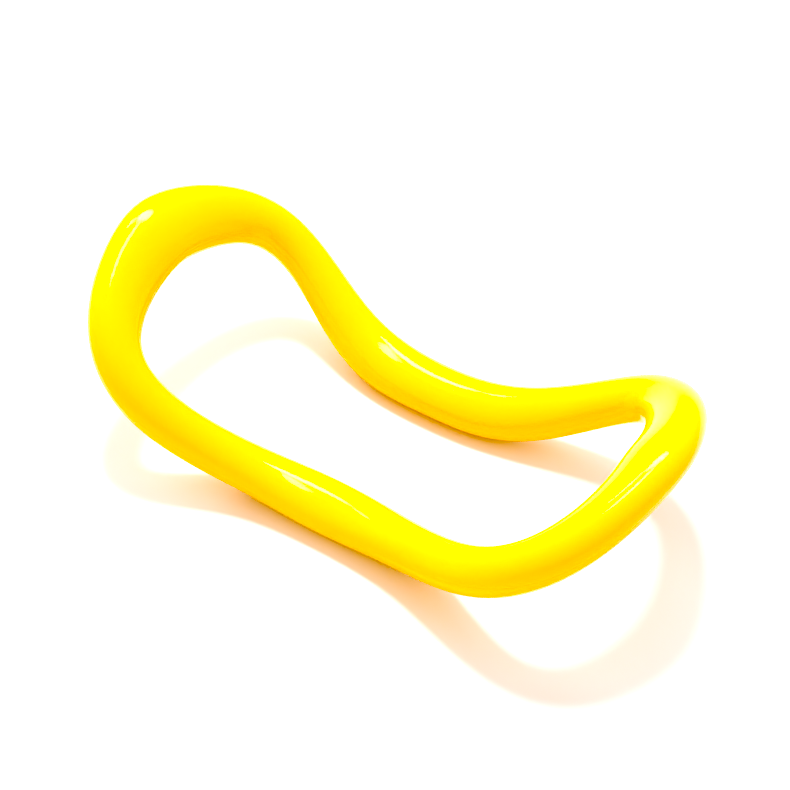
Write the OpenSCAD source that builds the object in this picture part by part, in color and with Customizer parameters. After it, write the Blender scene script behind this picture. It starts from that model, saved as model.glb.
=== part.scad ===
// Wave-shaped stretching ring: a closed hollow tube, waisted in plan and bent like a saddle.
// It is moulded as an upper and a lower half shell. A tongue on the lower shell fits a groove
// in the upper one along both flanks, and a bead of glue fills the bottom of each groove.
// Origin: on the floor below the middle of the ring. X runs along its length, Z is up.
// One quarter of the tube is set by five stations and mirrored twice. In order round the
// tube they are the tip, the shoulder, the corner, the haunch and the waist.

/* [Reach along the length] */
// Centre of the tube at the tip, the middle of a raised end
tip_reach = 104.3; // [98:0.1:112]
// Centre of the tube at the shoulder
shoulder_reach = 99.7; // [94:0.1:103]
// Centre of the tube at the corner
corner_reach = 75.9; // [71:0.1:80]
// Centre of the tube at the haunch, where the side turns in
haunch_reach = 37.8; // [35:0.1:41]

/* [Reach across the width] */
// Centre of the tube at the shoulder
shoulder_out = 28.4; // [26:0.1:31]
// Centre of the tube at the corner
corner_out = 52.2; // [48:0.1:56]
// Centre of the tube at the haunch
haunch_out = 42.7; // [39:0.1:46]
// Centre of the tube at the waist, the low middle of a side
waist_out = 38.4; // [35:0.1:42]

/* [Rise above the waist] */
// Rise of the tip
tip_rise = 51.9; // [40:0.1:60]
// Rise of the shoulder
shoulder_rise = 45.2; // [35:0.1:52]
// Rise of the corner
corner_rise = 26.3; // [20:0.1:31]
// Rise of the haunch
haunch_rise = 4.7; // [3:0.1:7]

/* [Oval section] */
// Thickness of the tube, the same all the way round
tube_thick = 17.8; // [16:0.1:20]
// Width of the oval at the tip
tip_wide = 27.8; // [22:0.1:31]
// Width of the oval at the shoulder
shoulder_wide = 24.6; // [20:0.1:27]
// Width of the oval at the corner, where the tube is round
corner_wide = 17.8; // [17:0.1:21]
// Width of the oval at the haunch
haunch_wide = 21; // [18:0.1:24]
// Width of the oval at the waist
waist_wide = 23; // [19:0.1:26]

/* [Lean of the oval, degrees up from level] */
// Lean at the tip
tip_lean = 45; // [30:1:55]
// Lean at the shoulder
shoulder_lean = 50; // [35:1:60]
// Lean at the corner
corner_lean = 40; // [25:1:50]
// Lean at the haunch
haunch_lean = 35; // [20:1:45]
// Lean at the waist
waist_lean = 5; // [0:1:15]

/* [Shells and joint] */
// Wall thickness of both shells
wall = 3; // [2.4:0.1:3.6]
// Width of the tongue and its groove
tongue_w = 1; // [0.8:0.1:1.2]
// Height of the tongue
tongue_h = 1.4; // [1:0.1:1.8]
// Thickness of the glue between the tongue and the bottom of the groove
glue_t = 0.4; // [0.2:0.1:0.6]

/* [Hidden] */

ring_steps = 96; // sections round the ring
skin_steps = 14; // facets on the outside of a half section
bore_steps = 10; // facets on the inside of a half section
nudge = 0.01; // degrees, to find the tube's direction
stations = 16; // stations in the whole ring, four to a quarter
quarter = stations / 4;
station_turn = 360 / stations;
up = [0, 1]; // up, in a section's own [out, up] plane
plastic = [1, 0.85, 0.02];
glue = [0.95, 0.93, 0.8];

groove_d = tongue_h + glue_t;
waist_height = norm([waist_wide / 2 * sin(waist_lean), tube_thick / 2 * cos(waist_lean)]);

// Values at the five stations, from the tip to the waist
reaches = [tip_reach, shoulder_reach, corner_reach, haunch_reach, 0];
outs = [0, shoulder_out, corner_out, haunch_out, waist_out];
rises = [tip_rise, shoulder_rise, corner_rise, haunch_rise, 0];
widths = [tip_wide, shoulder_wide, corner_wide, haunch_wide, waist_wide];
leans = [tip_lean, shoulder_lean, corner_lean, haunch_lean, waist_lean];

function unit(v) = v / norm(v);

// Station of the first quarter that station k mirrors
function twin(k) = quarter - abs(quarter - k % (2 * quarter));

// Smooth closed wave through one value per station
function pull(turn) =
    abs(sin(turn / 2)) < 1e-9 ? 1 : sin(stations * turn / 2) / (stations * tan(turn / 2));
function wave(values, turn, k = 0) =
    k == stations ? 0 : values[k] * pull(turn - k * station_turn) + wave(values, turn, k + 1);

reach_ring = [for (k = [0:stations - 1]) reaches[twin(k)] * sign(cos(k * station_turn))];
out_ring = [for (k = [0:stations - 1]) outs[twin(k)] * sign(sin(k * station_turn))];
rise_ring = [for (k = [0:stations - 1]) rises[twin(k)] + waist_height];
width_ring = [for (k = [0:stations - 1]) widths[twin(k)]];
lean_ring = [for (k = [0:stations - 1]) leans[twin(k)]];

// Centre line of the tube and its directions ahead, out and up, at a turn round the ring
function centre(turn) = [wave(reach_ring, turn), wave(out_ring, turn), wave(rise_ring, turn)];
function ahead(turn) = unit(centre(turn + nudge) - centre(turn - nudge));
function outward(forward) = unit(cross(forward, [0, 0, 1]));

// Point of an oval in the [out, up] plane: half-width, half-thickness, lean, angle round it
function oval(a, b, lean, angle) = [
    a * cos(angle) * cos(lean) - b * sin(angle) * sin(lean),
    a * cos(angle) * sin(lean) + b * sin(angle) * cos(lean)
];

// Angle round the outer oval at which its skin stands upright, which is where the seam runs
function seam_angle(a, b, lean) = -atan(b * tan(lean) / a);

// Angle round the bore's oval that lies on the same line from the centre
function bore_angle(a, b, seam) = atan2(b * sin(seam) / (b - wall), a * cos(seam) / (a - wall));

// Arc of an oval, both ends included
function arc(a, b, lean, from, to, steps) =
    [for (i = [0:steps]) oval(a, b, lean, from + (to - from) * i / steps)];

// Middle of the wall on the seam line, and that line's direction
function wall_middle(a, b, lean) =
    (oval(a, b, lean, seam_angle(a, b, lean))
    + oval(a - wall, b - wall, lean, bore_angle(a, b, seam_angle(a, b, lean)))) / 2;

// Corners of the tongue or groove: side is 1 on the outer flank and -1 on the inner one
function joint_point(a, b, lean, side, shift, height) =
    let(middle = wall_middle(a, b, lean))
    side * (middle + shift * unit(middle)) + height * up;

// Outline points of the groove, from its edge at shift s to its edge at shift -s
function groove(a, b, lean, side, s) = [
    joint_point(a, b, lean, side, s, 0),
    joint_point(a, b, lean, side, s, tongue_h),
    joint_point(a, b, lean, side, s, groove_d),
    joint_point(a, b, lean, side, -s, groove_d),
    joint_point(a, b, lean, side, -s, tongue_h),
    joint_point(a, b, lean, side, -s, 0)
];

// Outline points of the tongue, in the same order
function tongue(a, b, lean, side, s) = [
    joint_point(a, b, lean, side, s, 0),
    joint_point(a, b, lean, side, s, tongue_h),
    joint_point(a, b, lean, side, -s, tongue_h),
    joint_point(a, b, lean, side, -s, 0)
];

function upper_outline(a, b, lean) =
    let(seam = seam_angle(a, b, lean), bore = bore_angle(a, b, seam))
    concat(
        arc(a, b, lean, seam, seam + 180, skin_steps),
        groove(a, b, lean, -1, tongue_w / 2),
        arc(a - wall, b - wall, lean, bore + 180, bore, bore_steps),
        groove(a, b, lean, 1, -tongue_w / 2)
    );

function lower_outline(a, b, lean) =
    let(seam = seam_angle(a, b, lean), bore = bore_angle(a, b, seam))
    concat(
        arc(a, b, lean, seam + 180, seam + 360, skin_steps),
        tongue(a, b, lean, 1, tongue_w / 2),
        arc(a - wall, b - wall, lean, bore + 360, bore + 180, bore_steps),
        tongue(a, b, lean, -1, -tongue_w / 2)
    );

function bead_outline(a, b, lean, side) = [
    joint_point(a, b, lean, side, -side * tongue_w / 2, tongue_h),
    joint_point(a, b, lean, side, side * tongue_w / 2, tongue_h),
    joint_point(a, b, lean, side, side * tongue_w / 2, groove_d),
    joint_point(a, b, lean, side, -side * tongue_w / 2, groove_d)
];

// Outlines at every section, in their own [out, up] planes
turns = [for (i = [0:ring_steps - 1]) 360 * i / ring_steps];
half_thick = tube_thick / 2;
function half_wide(turn) = wave(width_ring, turn) / 2;
function lean(turn) = wave(lean_ring, turn);

// Places an outline's points round the section's centre
function place(turn, outline) =
    let(middle = centre(turn), forward = ahead(turn), out = outward(forward))
    let(rise = cross(out, forward))
    [for (p = outline) middle + p[0] * out + p[1] * rise];

// Which way a side of the tube is split into triangles, so that touching pieces agree
function slant(p, q) = p[0] + 0.37 * p[1] < q[0] + 0.37 * q[1];

// Closed tube through one outline for each section
module tube(outlines) {
    count = len(outlines[0]);
    points = [for (i = [0:ring_steps - 1]) each place(turns[i], outlines[i])];
    faces = [
        for (i = [0:ring_steps - 1], j = [0:count - 1])
        let(
            next_i = (i + 1) % ring_steps,
            next_j = (j + 1) % count,
            p = i * count + j,
            q = i * count + next_j,
            p_on = next_i * count + j,
            q_on = next_i * count + next_j
        )
        each slant(outlines[i][j], outlines[i][next_j])
            ? [[p, q, q_on], [p, q_on, p_on]]
            : [[p, q, p_on], [q, q_on, p_on]]
    ];
    polyhedron(points, faces, convexity = 6);
}

module upper_shell() {
    color(plastic) tube([for (t = turns) upper_outline(half_wide(t), half_thick, lean(t))]);
}

module lower_shell() {
    color(plastic) tube([for (t = turns) lower_outline(half_wide(t), half_thick, lean(t))]);
}

module inner_glue_bead() {
    color(glue) tube([for (t = turns) bead_outline(half_wide(t), half_thick, lean(t), -1)]);
}

module outer_glue_bead() {
    color(glue) tube([for (t = turns) bead_outline(half_wide(t), half_thick, lean(t), 1)]);
}

upper_shell();
lower_shell();
inner_glue_bead();
outer_glue_bead();
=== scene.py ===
from math import atan, atan2, cos, pi, radians, sin, tan
import bmesh
import bpy
from mathutils import Matrix, Vector


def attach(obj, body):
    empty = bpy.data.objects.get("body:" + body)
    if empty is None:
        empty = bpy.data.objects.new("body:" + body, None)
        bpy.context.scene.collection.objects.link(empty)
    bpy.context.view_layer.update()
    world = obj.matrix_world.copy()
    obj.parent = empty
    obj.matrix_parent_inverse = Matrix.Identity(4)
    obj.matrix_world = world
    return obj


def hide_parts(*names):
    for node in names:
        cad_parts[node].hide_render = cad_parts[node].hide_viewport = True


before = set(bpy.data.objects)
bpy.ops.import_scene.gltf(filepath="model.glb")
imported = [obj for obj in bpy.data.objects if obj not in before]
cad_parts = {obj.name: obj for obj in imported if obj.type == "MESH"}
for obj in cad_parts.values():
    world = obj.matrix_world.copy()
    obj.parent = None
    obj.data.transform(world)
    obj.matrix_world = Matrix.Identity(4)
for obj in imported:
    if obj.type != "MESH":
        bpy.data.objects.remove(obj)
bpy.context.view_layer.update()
scene = bpy.context.scene
mm = 0.001
nothing = 1e-9  # anything smaller counts as zero

# The ring: one quarter in five stations, from the tip of a raised end to the low waist of a side
ringShape = {
    "reach": (104.3, 99.7, 75.9, 37.8, 0.0),  # mm along the length, to the middle of the tube
    "out": (0.0, 28.4, 52.2, 42.7, 38.4),  # mm across the width
    "rise": (51.9, 45.2, 26.3, 4.7, 0.0),  # mm above the waist
    "width": (27.8, 24.6, 17.8, 21.0, 23.0),  # mm, width of the oval tube
    "lean": (45.0, 50.0, 40.0, 35.0, 5.0),  # degrees, how far the oval leans up from level
    "thick": 17.8,  # mm, thickness of the tube, the same all the way round
    "wall": 3.0,  # mm
}
quarter = len(ringShape["reach"]) - 1  # stations in a quarter of the ring
stations = 4 * quarter


def signOf(value):
    return 0 if abs(value) < nothing else (1 if value > 0 else -1)


def pull(turn):
    # Share of one station in the smooth closed wave through all of them
    if abs(sin(turn / 2)) < nothing:
        return 1.0
    return sin(stations * turn / 2) / (stations * tan(turn / 2))


def wave(values, turn, side=lambda angle: 1):
    # The side function gives the sign that the values have in each quarter
    total = 0.0
    for k in range(stations):
        angle = 2 * pi * k / stations
        twin = quarter - abs(quarter - k % (2 * quarter))  # the station that this one mirrors
        total += values[twin] * signOf(side(angle)) * pull(turn - angle)
    return total


def tubeCentre(turn):
    lean = radians(ringShape["lean"][-1])
    lowest = Vector((ringShape["width"][-1] * sin(lean), ringShape["thick"] * cos(lean))).length / 2
    reach = wave(ringShape["reach"], turn, cos)
    out = wave(ringShape["out"], turn, sin)
    return Vector((reach, out, wave(ringShape["rise"], turn) + lowest)) * mm


def tubeWays(turn):
    # Ahead along the tube, out from the ring's middle, and up
    nudge = 1e-4  # radians
    ahead = (tubeCentre(turn + nudge) - tubeCentre(turn - nudge)).normalized()
    out = ahead.cross(Vector((0, 0, 1))).normalized()
    return ahead, out, out.cross(ahead)


def sectionMatrix(turn, inset, half):
    # Lays a unit half circle on the tube's oval, starting where the skin stands upright
    ahead, out, up = tubeWays(turn)
    lean = radians(wave(ringShape["lean"], turn))
    wide = wave(ringShape["width"], turn) / 2
    thick = ringShape["thick"] / 2
    seam = -atan(thick * tan(lean) / wide)
    start = atan2(thick * sin(seam) / (thick - inset), wide * cos(seam) / (wide - inset))
    wideWay = (out * cos(lean) + up * sin(lean)) * (wide - inset) * mm
    thickWay = (up * cos(lean) - out * sin(lean)) * (thick - inset) * mm
    matrix = Matrix((wideWay, thickWay, ahead)).transposed().to_4x4()
    matrix.translation = tubeCentre(turn)
    return matrix @ Matrix.Rotation(start + (pi if half == "lower" else 0), 4, "Z")


shellDetail = {
    "sections": 288,  # round the ring
    "skinSteps": 28,  # round the outside of half a tube
    "boreSteps": 16,  # round the inside of half a tube
    "land": 1.0,  # mm, flat lip on each side of the tongue or groove
    "tongueHeight": 1.4,  # mm, stands up on the lower shell
    "grooveDepth": 1.8,  # mm, in the upper shell, with the glue at its bottom
    "seamBreak": 0.04,  # mm, softened edge of each shell along the seam
    "sharpFrom": 35,  # degrees between faces, where the shading breaks
    "weld": 0.000001,  # m, closes the sweep on itself
}
skinBorders = (1, 2)  # marks on the two edges of the skin
boreBorders = (3, 4)  # and on the two edges of the bore


def sweepHalf(bm, half, inset, steps, borders, marks):
    # A half circle spun from one vertex, then extruded round the ring
    borderMark, turnMark = marks
    before = set(bm.verts)
    first = bm.verts.new((1, 0, 0))
    spun = bmesh.ops.spin(bm, geom=[first], cent=(0, 0, 0), axis=(0, 0, 1), angle=pi, steps=steps)
    fresh = [v for v in bm.verts if v not in before]
    chain = list({e for v in fresh for e in v.link_edges})
    first[borderMark], spun["geom_last"][0][borderMark] = borders
    matrix = sectionMatrix(0, inset, half)
    bmesh.ops.transform(bm, matrix=matrix, verts=fresh)
    for i in range(1, shellDetail["sections"] + 1):
        turn = 2 * pi * i / shellDetail["sections"]
        onward = sectionMatrix(turn, inset, half)
        grown = bmesh.ops.extrude_edge_only(bm, edges=chain)["geom"]
        fresh = [g for g in grown if isinstance(g, bmesh.types.BMVert)]
        chain = [g for g in grown if isinstance(g, bmesh.types.BMEdge)]
        bmesh.ops.transform(bm, matrix=onward @ matrix.inverted(), verts=fresh)
        for v in fresh:
            v[turnMark] = turn
        matrix = onward
    bmesh.ops.remove_doubles(bm, verts=bm.verts, dist=shellDetail["weld"])


def makeLip(bm, skinBorder, boreBorder, height, marks):
    # Closes the wall between skin and bore, then raises a tongue or sinks a groove along it
    borderMark, turnMark = marks
    rims = [e for e in bm.edges if e.is_boundary
            and {v[borderMark] for v in e.verts} in ({skinBorder}, {boreBorder})]
    lip = bmesh.ops.bridge_loops(bm, edges=rims)["faces"]
    bmesh.ops.inset_region(bm, faces=lip, thickness=shellDetail["land"] * mm, use_boundary=True,
                           use_even_offset=True)
    grown = bmesh.ops.extrude_face_region(bm, geom=lip)["geom"]
    for v in [g for g in grown if isinstance(g, bmesh.types.BMVert)]:
        v.co += tubeWays(v[turnMark])[2] * height * mm
    stale = [f for f in lip if f.is_valid]
    bmesh.ops.delete(bm, geom=stale, context="FACES")


def softenSeam(bm, borderMark):
    seam = [e for e in bm.edges if {v[borderMark] for v in e.verts} in [{b} for b in skinBorders]]
    bmesh.ops.bevel(bm, geom=seam, offset=shellDetail["seamBreak"] * mm, segments=2, affect="EDGES",
                    profile=0.5, material=-1)


def shadeShell(bm):
    sharp = radians(shellDetail["sharpFrom"])
    for f in bm.faces:
        f.smooth = True
    for e in bm.edges:
        e.smooth = len(e.link_faces) == 2 and e.calc_face_angle() < sharp


def makeShell(name, half):
    bm = bmesh.new()
    marks = bm.verts.layers.int.new("border"), bm.verts.layers.float.new("turn")
    sweepHalf(bm, half, 0, shellDetail["skinSteps"], skinBorders, marks)
    sweepHalf(bm, half, ringShape["wall"], shellDetail["boreSteps"], boreBorders, marks)
    height = shellDetail["tongueHeight"] if half == "lower" else shellDetail["grooveDepth"]
    for skinBorder, boreBorder in zip(skinBorders, boreBorders):
        makeLip(bm, skinBorder, boreBorder, height, marks)
    bmesh.ops.recalc_face_normals(bm, faces=bm.faces)
    softenSeam(bm, marks[0])
    shadeShell(bm)
    openEdges = [e for e in bm.edges if not e.is_manifold]
    print("   ", name, len(bm.faces), "faces", len(openEdges), "open edges")
    bm.verts.layers.int.remove(bm.verts.layers.int["border"])
    bm.verts.layers.float.remove(bm.verts.layers.float["turn"])
    mesh = bpy.data.meshes.new(name)
    bm.to_mesh(mesh)
    bm.free()
    shell = bpy.data.objects.new(name, mesh)
    scene.collection.objects.link(shell)
    return shell


plasticLook = {
    "yellow": (0.97, 0.515, 0.004),  # moulded colour
    "deeper": (0.95, 0.48, 0.003),  # where the melt flowed slower
    "flowScale": 26.0,  # flow patches, per metre
    "glow": 0.2,  # share of the light that scatters inside the wall
    "glowReach": (0.002, 0.0009, 0.0001),  # m, how far each colour spreads
    "roughness": (0.12, 0.16),
    "smudgeScale": 90.0,  # handling haze, per metre
    "peelScale": 1400.0,  # orange peel, per metre
    "peelHeight": 0.000003,  # m
    "rippleScale": 55.0,  # slow ripples from cooling, per metre
    "rippleHeight": 0.00003,  # m
    "bend": 1.5,  # index of refraction
}
noiseSpan = (0.3, 0.7)  # nearly all of a noise pattern lies between these


def noiseOn(tree, place, scale, detail):
    noise = tree.nodes.new("ShaderNodeTexNoise")
    noise.inputs["Scale"].default_value = scale
    noise.inputs["Detail"].default_value = detail
    tree.links.new(place.outputs["Object"], noise.inputs["Vector"])
    return noise.outputs["Fac"]


def blendOf(tree, factor, low, high):
    mix = tree.nodes.new("ShaderNodeMix")
    mix.data_type = "RGBA"
    mix.inputs["A"].default_value = (*low, 1)
    mix.inputs["B"].default_value = (*high, 1)
    tree.links.new(factor, mix.inputs["Factor"])
    return mix.outputs["Result"]


def rangeOf(tree, factor, low, high):
    spread = tree.nodes.new("ShaderNodeMapRange")
    spread.inputs["From Min"].default_value, spread.inputs["From Max"].default_value = noiseSpan
    spread.inputs["To Min"].default_value = low
    spread.inputs["To Max"].default_value = high
    tree.links.new(factor, spread.inputs["Value"])
    return spread.outputs["Result"]


def bumpOf(tree, height, distance, under=None):
    bump = tree.nodes.new("ShaderNodeBump")
    bump.inputs["Distance"].default_value = distance
    tree.links.new(height, bump.inputs["Height"])
    if under:
        tree.links.new(under, bump.inputs["Normal"])
    return bump.outputs["Normal"]


def startMaterial(name):
    material = bpy.data.materials.new(name)
    material.use_nodes = True
    tree = material.node_tree
    return material, tree, tree.nodes["Principled BSDF"], tree.nodes.new("ShaderNodeTexCoord")


def glossyYellow():
    look = plasticLook
    material, tree, shader, place = startMaterial("glossy_yellow_plastic")
    flow = noiseOn(tree, place, look["flowScale"], 2)
    smudge = noiseOn(tree, place, look["smudgeScale"], 4)
    ripple = bumpOf(tree, noiseOn(tree, place, look["rippleScale"], 1), look["rippleHeight"])
    peel = bumpOf(tree, noiseOn(tree, place, look["peelScale"], 2), look["peelHeight"], ripple)
    tree.links.new(blendOf(tree, flow, look["yellow"], look["deeper"]), shader.inputs["Base Color"])
    tree.links.new(rangeOf(tree, smudge, *look["roughness"]), shader.inputs["Roughness"])
    tree.links.new(peel, shader.inputs["Normal"])
    shader.inputs["IOR"].default_value = look["bend"]
    shader.inputs["Subsurface Weight"].default_value = look["glow"]
    shader.inputs["Subsurface Radius"].default_value = look["glowReach"]
    shader.inputs["Subsurface Scale"].default_value = 1.0
    return material


print("Shells")
yellow = glossyYellow()
for half in ("upper", "lower"):
    shell = makeShell(half + "_half_shell", half)
    shell.data.materials.append(yellow)
    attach(shell, "root")
    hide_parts(half + "_shell")

glueLook = {
    "amber": (0.82, 0.7, 0.42),
    "milky": (0.9, 0.84, 0.66),
    "roughness": (0.35, 0.55),
    "waveScale": 220.0,  # per metre
    "waveHeight": 0.00008,  # m
}


def curedGlue():
    look = glueLook
    material, tree, shader, place = startMaterial("cured_glue")
    waves = noiseOn(tree, place, look["waveScale"], 3)
    tree.links.new(blendOf(tree, waves, look["amber"], look["milky"]), shader.inputs["Base Color"])
    tree.links.new(rangeOf(tree, waves, *look["roughness"]), shader.inputs["Roughness"])
    tree.links.new(bumpOf(tree, waves, look["waveHeight"]), shader.inputs["Normal"])
    return material


print("Glue beads")
glue = curedGlue()
for bead in ("inner_glue_bead", "outer_glue_bead"):
    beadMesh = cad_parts[bead].data
    beadMesh.materials.clear()
    beadMesh.materials.append(glue)

floorLook = {
    "size": 6.0,  # m
    "white": (0.82, 0.82, 0.82),
    "roughness": 0.5,
}


def makeFloor():
    bm = bmesh.new()
    bmesh.ops.create_grid(bm, x_segments=8, y_segments=8, size=floorLook["size"] / 2)
    mesh = bpy.data.meshes.new("floor")
    bm.to_mesh(mesh)
    bm.free()
    floor = bpy.data.objects.new("floor", mesh)
    scene.collection.objects.link(floor)
    material = bpy.data.materials.new("floor_white")
    material.use_nodes = True
    shader = material.node_tree.nodes["Principled BSDF"]
    shader.inputs["Base Color"].default_value = (*floorLook["white"], 1)
    shader.inputs["Roughness"].default_value = floorLook["roughness"]
    mesh.materials.append(material)


lights = {
    # name: its two ends (m), width (m), brightness, and whether the gloss shows it
    "keyPanel": ((-0.42, 0.18, 1.5), (-0.42, 0.51, 1.5), 0.33, 105.0, False),
    "fillPanel": ((-0.9, 0.0, 0.5), (-0.9, 0.6, 0.5), 0.5, 6.0, False),
    "longBox": ((-0.03, 0.51, 0.87), (-0.45, 0.43, 0.87), 0.2, 16.0, True),
    "endBox": ((-0.15, 0.34, 0.87), (-0.22, -0.04, 0.87), 0.14, 13.0, True),
    "sideBox": ((-0.46, 0.4, 0.87), (-0.68, 0.28, 0.87), 0.1, 14.0, True),
}


def addLight(name, start, end, width, brightness, inGloss):
    # A flat oval panel along the line between its ends, turned to face the ring
    start, end = Vector(start), Vector(end)
    data = bpy.data.lights.new(name, "AREA")
    data.shape = "ELLIPSE"
    data.size = width
    data.size_y = (end - start).length
    area = pi / 4 * data.size * data.size_y
    data.energy = brightness * pi * area
    light = bpy.data.objects.new(name, data)
    middle = (start + end) / 2
    along = (end - start).normalized()
    back = middle - middle.project(along)
    back.normalize()
    turned = Matrix((along.cross(back), along, back)).transposed().to_4x4()
    light.matrix_world = Matrix.Translation(middle) @ turned
    light.visible_glossy = inGloss  # one set makes the highlights
    light.visible_diffuse = not inGloss  # and the other the shading and the shadows
    scene.collection.objects.link(light)


surround = {
    "colour": (1.0, 1.0, 1.0),
    "strength": 1.07,
}


def addSurround():
    world = bpy.data.worlds.new("studio")
    world.use_nodes = True
    background = world.node_tree.nodes["Background"]
    background.inputs["Color"].default_value = (*surround["colour"], 1)
    background.inputs["Strength"].default_value = surround["strength"]
    scene.world = world


cameraView = {
    "azimuth": 27.4,  # degrees, from behind -Y towards +X
    "elevation": 42.9,  # degrees above the floor
    "distance": 0.712,  # m, from the middle of the ring
    "aimHeight": 0.0345,  # m
    "roll": 5.8,  # degrees
    "lens": 88.3,  # mm
    "sensor": 36,  # mm
    "shift": (0.0078, 0.002),
}


def addCamera():
    view = cameraView
    data = bpy.data.cameras.new("camera")
    data.lens = view["lens"]
    data.sensor_width = view["sensor"]
    data.shift_x, data.shift_y = view["shift"]
    camera = bpy.data.objects.new("camera", data)
    camera.matrix_world = (
        Matrix.Translation((0, 0, view["aimHeight"]))
        @ Matrix.Rotation(radians(view["azimuth"]), 4, "Z")
        @ Matrix.Rotation(radians(90 - view["elevation"]), 4, "X")
        @ Matrix.Translation((0, 0, view["distance"]))
        @ Matrix.Rotation(radians(view["roll"]), 4, "Z")
    )
    scene.collection.objects.link(camera)
    scene.camera = camera


pictureTone = {
    # red, green, blue: a bright, warm exposure with the yellow kept pure
    "black": (-0.12, 0.055, 0.21),
    "white": (0.8, 1.0, 1.0),
}


def setTone():
    scene.view_settings.view_transform = "Standard"
    scene.view_settings.use_curve_mapping = True
    curves = scene.view_settings.curve_mapping
    curves.black_level = pictureTone["black"]
    curves.white_level = pictureTone["white"]
    curves.update()


print("Floor, lights and camera")
makeFloor()
for name, settings in lights.items():
    addLight(name, *settings)
addSurround()
addCamera()
setTone()
